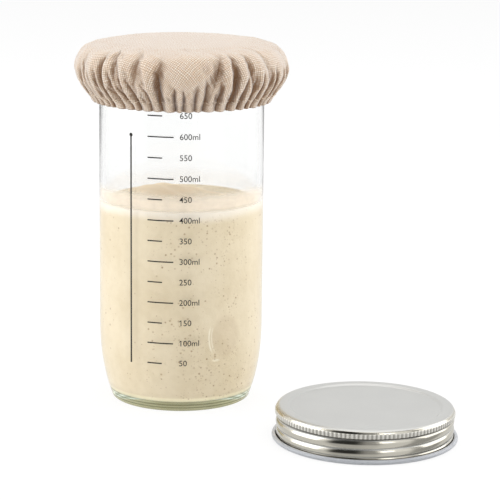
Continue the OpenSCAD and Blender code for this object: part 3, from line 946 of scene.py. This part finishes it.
def start_shape():
    """Flat disc and folded start shape, both as a centre and rings, in mm."""
    rho = np.concatenate([[8, 16, 24, 30], np.linspace(FLAT_R, CLOTH_R, SIM_RINGS)])
    phi = angles(SIM_COLUMNS)
    fixed = np.minimum(rho, FLAT_R)
    s = fixed + (rho - fixed) * (along[-1] - FLAT_R) / (CLOTH_R - FLAT_R)
    r, z = (np.interp(s, along, cover_line[:, i]) for i in (0, 1))
    up = np.clip((CLOTH_R - rho) / (CLOTH_R - 46), 0, 1)
    facing = from_front(phi)
    degrees = np.degrees(facing)
    start = 54 - 5 * np.exp(-((degrees + 33) / 16) ** 2) + 10 * np.exp(-((degrees - 2) / 12) ** 2)
    upper, lower = smooth(rho, 40, 60)[:, None], smooth(rho[:, None], start[None], CLOTH_R - 5)
    shape = upper * (1 - 0.8 * lower) * big_folds(facing, up) + lower * gathers(facing, up)
    depth = fold_depth(shape + 1e-9, r, 2 * np.pi * rho)
    most = np.interp(rho, [44, 60, CLOTH_R - 12, CLOTH_R - 4, CLOTH_R], [1.6, 2.8, 2.7, 1.6, 1.25])
    off = np.minimum(depth, most)[:, None] * shape
    dr, dz = np.gradient(r, s), np.gradient(z, s)
    out_r, out_z = -dz / np.hypot(dr, dz), dr / np.hypot(dr, dz)
    ring_r = r[:, None] + off * np.maximum(out_r, 0)[:, None]
    ring_z = z[:, None] + off * 0.5 * out_z[:, None] * smooth(rho, 40, 50)[:, None]
    folded = np.stack([ring_r * np.cos(phi), ring_r * np.sin(phi), ring_z], -1)
    flat = turned(profile(rho, TOP_Z), SIM_COLUMNS)
    return rho, flat, folded


# %% Let it settle
SIM_SCALE = 10.0
SIM_FRAMES = 14
GUARD_LINE = [(42.4, 120), (42.4, 157), (41.0, 161), (41.0, 181), (39.8, 182.3), (38.0, 182.3), (37.2, 181),
              (37.2, 150)]


def settle(rho, flat, folded):
    """Runs the cloth from the folded shape, with the flat disc as its rest shape. The hem's edge and the
    middle that rests on the rim are held. The model is ten times life size, which suits the solver."""
    centre = [(0, 0, TOP_Z + 0.6)]
    points, faces = skin(folded, first_pole=centre)
    rest = np.vstack([flat.reshape(-1, 3), centre])
    cloth = drawn("settling", points * MM * SIM_SCALE, faces[1].tolist() + faces[0].tolist())
    cloth.shape_key_add(name="folded")
    key = cloth.shape_key_add(name="flat")
    key.data.foreach_set("co", (rest * MM * SIM_SCALE).ravel())
    key.value = 0
    hold = np.maximum(smooth(rho, CLOTH_R - 5.0, CLOTH_R - 3.4), 1 - smooth(rho, FLAT_R - 1, FLAT_R + 5))
    group = cloth.vertex_groups.new(name="held")
    for ring in np.nonzero(hold > 0)[0]:
        members = (np.arange(SIM_COLUMNS) + ring * SIM_COLUMNS).tolist()
        group.add(members, float(hold[ring]), "REPLACE")
    group.add([len(points) - 1], 1.0, "REPLACE")

    guard_points, guard_faces = skin(turned(GUARD_LINE, 96))
    guard = drawn("guard", guard_points * MM * SIM_SCALE, guard_faces[0].tolist())
    guard.modifiers.new("guard", "COLLISION")
    guard.collision.thickness_outer, guard.collision.thickness_inner = 0.003, 0.01

    modifier = cloth.modifiers.new("cloth", "CLOTH")
    feel = modifier.settings
    feel.quality, feel.mass, feel.air_damping = 7, 0.3, 2
    feel.tension_stiffness = feel.compression_stiffness = 90
    feel.shear_stiffness, feel.bending_stiffness = 25, 1.2
    feel.tension_damping = feel.compression_damping = feel.shear_damping = 8
    feel.bending_damping = 0.5
    feel.vertex_group_mass, feel.pin_stiffness = "held", 10
    feel.rest_shape_key = key
    feel.use_pressure, feel.uniform_pressure_force = True, 0.35
    feel.effector_weights.gravity = 0.1
    touch = modifier.collision_settings
    touch.use_collision, touch.distance_min, touch.collision_quality = True, 0.004, 2
    touch.use_self_collision, touch.self_distance_min, touch.self_friction = True, 0.005, 5
    scene = bpy.context.scene
    scene.frame_start, scene.frame_end = 1, SIM_FRAMES
    modifier.point_cache.frame_start, modifier.point_cache.frame_end = 1, SIM_FRAMES
    for number in range(1, SIM_FRAMES + 1):
        scene.frame_set(number)
    settled = bpy.data.meshes.new_from_object(cloth.evaluated_get(bpy.context.evaluated_depsgraph_get()))
    co = np.zeros(len(settled.vertices) * 3)
    settled.vertices.foreach_get("co", co)
    meshes = settled, cloth.data, guard.data
    for used in (cloth, guard):
        bpy.data.objects.remove(used)
    for spent in meshes:
        bpy.data.meshes.remove(spent)
    scene.frame_set(1)
    co = co.reshape(-1, 3) / (MM * SIM_SCALE)
    return co[:-1].reshape(folded.shape)


rho, flat, folded = start_shape()
cover = settle(rho, flat, folded)
reach = np.hypot(cover[..., 0], cover[..., 1])
print(f"cover reaches r {reach.max():.1f}, hem r {reach[-1].min():.2f} to {reach[-1].max():.2f}")

# %% Finer grid, and the hem turned in
FLAP_R, FLAP_TOP = 42.5, 158.0
CLEAR_R, LOW_Z = 43.55, 160.0
HEM_BULGE, HEM_BEND, HEM_FLAP = 0.55, 1.6, 4.0

outer, outer_flat = (finer(grid, 2, axis=1, closed=True) for grid in (cover, flat))
reach = np.hypot(outer[..., 0], outer[..., 1])
too_near = (outer[..., 2] < LOW_Z) & (reach < CLEAR_R)
outer[..., :2] *= np.where(too_near, CLEAR_R / reach, 1)[..., None]
edge, edge_flat = outer[-1], outer_flat[-1]
edge_r = np.hypot(edge[:, 0], edge[:, 1])
turn = np.radians(np.linspace(0, 180, 7))[1:, None]
flap_r = FLAP_R + (edge_r - FLAP_R) * (0.5 + 0.5 * np.cos(turn))
flap_z = edge[:, 2] - HEM_BULGE * np.sin(turn)
rise = np.linspace(0, 1, 5)[1:, None]
flap_r = np.vstack([flap_r, np.full((4, len(edge_r)), FLAP_R)])
flap_z = np.vstack([flap_z, flap_z[-1] + rise * (FLAP_TOP - flap_z[-1])])
unit = edge[:, :2] / edge_r[:, None]
flap = np.concatenate([flap_r[..., None] * unit, flap_z[..., None]], -1)
beyond = np.concatenate([np.linspace(0, HEM_BEND, 7)[1:], HEM_BEND + np.linspace(0, HEM_FLAP, 5)[1:]])
flap_flat = edge_flat * (1 + beyond[:, None, None] / CLOTH_R)
cloth_grid = np.concatenate([outer, flap])
cloth_flat = np.concatenate([outer_flat, flap_flat])


def hidden_light(grid, steps):
    """How much of the light its neighbours keep from each point: (q - p).n / |q - p|, the largest over
    the next points q on each side along the ring, and then the mean of the two sides."""
    normal = np.cross(np.gradient(grid, axis=0), np.roll(grid, -1, 1) - np.roll(grid, 1, 1))
    normal /= np.linalg.norm(normal, axis=-1, keepdims=True)
    sides = []
    for way in (1, -1):
        highest = np.zeros(grid.shape[:2])
        for step in range(1, steps + 1):
            reach = np.roll(grid, way * step, 1) - grid
            rise = (reach * normal).sum(-1) / np.linalg.norm(reach, axis=-1)
            highest = np.maximum(highest, rise)
        sides.append(highest)
    return (sides[0] + sides[1]) / 2


pinched = np.concatenate([hidden_light(outer, 12), np.full(flap.shape[:2], 0.5)])
print(f"folds hide {pinched[:len(outer)].mean():.2f} of the light on average, {pinched.max():.2f} at most")

# %% Linen
LINEN_LIGHT, LINEN, LINEN_WEAVE_SHADE = linear(253, 244, 231), linear(240, 219, 196), linear(158, 121, 86)
LINEN_SHADE, FLECK = linear(126, 91, 60), linear(140, 110, 80)
LIGHT_PASSED, LINEN_GLOW = 0.25, (1.0, 0.93, 0.82, 1)
WEAVE_PITCH, WEAVE_TURN = 1.0, math.radians(38)

linen_finish = Finish("coarse linen")
laid = linen_finish.node("UVMap", {"uv_map": "laid flat"})
wander = linen_finish.node("TexNoise", None, {"Vector": laid, "Scale": 0.11, "Detail": 2.0}, out="Color")
loose = linen_finish.node("VectorMath", {"operation": "MULTIPLY_ADD"}, {0: wander, 1: (2.2, 2.2, 0), 2: laid})
place = linen_finish.node("Mapping", None, {
    "Vector": loose, "Rotation": (0, 0, WEAVE_TURN), "Scale": (1 / WEAVE_PITCH,) * 3})
at = place.parts()
warp, weft = at["X"], at["Y"]
wave_warp, wave_weft = (warp * math.pi).math("SINE"), (weft * math.pi).math("SINE")
over = (wave_warp * wave_weft).ramp(-0.15, 0.15)
across_warp, across_weft = abs(wave_warp), abs(wave_weft)
warp_height = across_warp * across_weft ** 0.35
weft_height = across_weft * across_warp ** 0.35
height = warp_height * over + weft_height * (1 - over)
slub_warp = place.stretched((1.0, 0.05, 1)).noise(1.3, 2.0)
slub_weft = place.stretched((0.05, 1.0, 1)).noise(1.3, 2.0)
slub = slub_warp * over + slub_weft * (1 - over)
fleck = place.stretched((1.0, 0.4, 1)).noise(0.9, 3.0).ramp(0.71, 0.77)
rumple = laid.noise(0.045, 3.0)
pinch = linen_finish.attribute("pinched")
# The weave's low places, between threads, are painted darker as shade, and so are the folds' valleys.
colour = layered(LINEN, (slub.ramp(0.36, 0.64), LINEN_LIGHT), ((1 - height) * 0.9, LINEN_WEAVE_SHADE),
                 (pinch.ramp(0.08, 0.62) * 0.95, LINEN_SHADE), (fleck * 0.7, FLECK))
woven = linen_finish.principled(
    Base_Color=colour, Roughness=0.92, Sheen_Weight=1.0, Sheen_Roughness=0.4, Specular_IOR_Level=0.2,
    Normal=(height + slub * 0.4 + rumple * 3.0).bump(0.0003, 0.75))
holes = linen_finish.node("BsdfTransparent", None, {"Color": LINEN_GLOW})
passed = ray_kinds(linen_finish)["Is Shadow Ray"] * LIGHT_PASSED
linen = linen_finish.surface(passed.choose(woven, holes))

points, faces = skin(cloth_grid, first_pole=(0, 0, TOP_Z + 0.6))
cover_cloth = put("gathered_cover", points, faces, [linen], "cover", "cover_linen", about=(0, 0, 150))
uv = np.vstack([cloth_flat.reshape(-1, 3)[:, :2], [[0, 0]]])
layer = cover_cloth.data.uv_layers.new(name="laid flat")
corner_points = np.zeros(len(cover_cloth.data.loops), int)
cover_cloth.data.loops.foreach_get("vertex_index", corner_points)
layer.data.foreach_set("uv", uv[corner_points].ravel())
carry(cover_cloth, "pinched", pinched)
weave = cover_cloth.modifiers.new("thickness", "SOLIDIFY")
weave.thickness, weave.offset = CLOTH_T * MM, 0.0
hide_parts("cover_cloth")

# %% [markdown]
# ## Elastic and stitching
#
# The elastic lies flat between the two layers of the hem. The seam above it is a running stitch, sewn
# while the cloth was flat, so each stitch follows the gathers up and down.

# %% Elastic
ELASTIC_MIN_R, ELASTIC_MAX_R, ELASTIC_LOW, ELASTIC_W = 42.82, 43.2, 154.8, 2.7
ELASTIC_RIBS = 300
elastic_z = ELASTIC_LOW + ELASTIC_W * np.array([0, 0, 1 / 3, 2 / 3, 1, 1])
elastic_r = [ELASTIC_MIN_R, *[ELASTIC_MAX_R] * 4, ELASTIC_MIN_R]
band = turned(profile(elastic_r, elastic_z), ELASTIC_RIBS * 2)
band[..., :2] *= np.where(np.arange(ELASTIC_RIBS * 2) % 2, 0.9988, 1.0)[None, :, None]
yarn = grained("elastic band", 900.0, (236, 233, 226), (246, 244, 240), 0.0001, 0.6, Roughness=0.8)
elastic = put("hem_elastic", *skin(band, ring=True), [yarn], "cover", "elastic_band")
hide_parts("cover_elastic")

# %% Stitches
STITCHES, STITCH_PART, YARN_R = 132, 0.68, 0.19
SEAM_RHO = CLOTH_R - 5.2
STITCH_POINTS, STITCH_SIDES = 6, 6

row = np.interp(SEAM_RHO, rho, np.arange(len(rho)))
low_row, share = int(row), row - int(row)
seam = outer[low_row] * (1 - share) + outer[low_row + 1] * share
up_line = outer[low_row] - outer[low_row + 1]
round_line = np.roll(seam, -1, 0) - np.roll(seam, 1, 0)
out_of = np.cross(round_line, up_line)
out_of /= np.linalg.norm(out_of, axis=1, keepdims=True)
out_of *= np.sign((out_of[:, :2] * seam[:, :2]).sum(1).mean())


def on_seam(values, t):
    """Value along the seam at t turns, between the nearest two columns."""
    c = (t % 1) * len(values)
    i = c.astype(int)
    f = (c - i)[..., None]
    return values[i % len(values)] * (1 - f) + values[(i + 1) % len(values)] * f


t = (np.arange(STITCHES)[:, None] + np.linspace(0, STITCH_PART, STITCH_POINTS)) / STITCHES
lift = CLOTH_T / 2 + YARN_R * (np.sin(np.linspace(0, math.pi, STITCH_POINTS)) * 0.9 - 0.1)
normal = on_seam(out_of, t)
path = on_seam(seam, t) + normal * lift[None, :, None]
ahead_of = np.gradient(path, axis=1)
ahead_of /= np.linalg.norm(ahead_of, axis=-1, keepdims=True)
side = np.cross(normal, ahead_of)
around = angles(STITCH_SIDES)
thin = np.array([0.55, 1, 1, 1, 1, 0.55])[None, :, None, None]
tube = path[:, :, None] + YARN_R * thin * (
    np.cos(around)[:, None] * normal[:, :, None] + np.sin(around)[:, None] * side[:, :, None])
one_points = STITCH_POINTS * STITCH_SIDES
starts = (np.arange(STITCHES) * one_points)[:, None, None]
tube_quads = (grid_faces(STITCH_POINTS, STITCH_SIDES)[None] + starts).reshape(-1, 4)
first_side = np.arange(STITCH_SIDES) + starts[:, :, 0]
lids_a, lids_b = first_side[:, ::-1], first_side + one_points - STITCH_SIDES
thread = grained("sewing thread", 2500.0, (222, 203, 178), (238, 224, 204), 0.0001, 0.6, Roughness=0.7)
stitches = put("hem_stitches", tube.reshape(-1, 3), [tube_quads, lids_a, lids_b], [thread],
               "cover", "sewing_thread")
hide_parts("hem_stitching")

# %% Size of the dressed model
low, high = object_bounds()
